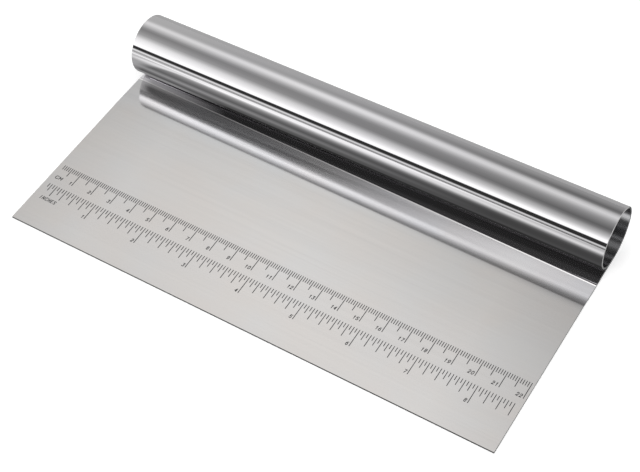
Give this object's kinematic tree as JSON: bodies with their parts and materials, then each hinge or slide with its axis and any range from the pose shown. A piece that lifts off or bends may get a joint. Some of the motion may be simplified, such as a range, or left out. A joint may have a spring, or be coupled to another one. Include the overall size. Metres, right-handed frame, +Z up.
{
  "type": "dough scraper",
  "caption": "Dough scraper of one bent steel sheet: a flat straight-edged blade with a printed centimetre and inch ruler, rolled at the back into an open tube handle.",
  "frame": {"origin": "middle of the footprint, on the ground that the scraper lies on with its ruler face up", "axes": "+X along the handle to the right as the ruler reads, +Y from the working edge to the handle, +Z up"},
  "size_m": [0.223, 0.1138, 0.0264],
  "materials": {
    "steel": "satin blade with lengthwise grain, mirror-polished handle",
    "ink": "matt dark grey print"
  },
  "bodies": {
    "root": {"scraper_sheet": "steel", "centimetre_ticks": "ink", "centimetre_numbers": "ink", "inch_ticks": "ink", "inch_numbers": "ink", "unit_words": "ink"}
  },
  "joints": []
}
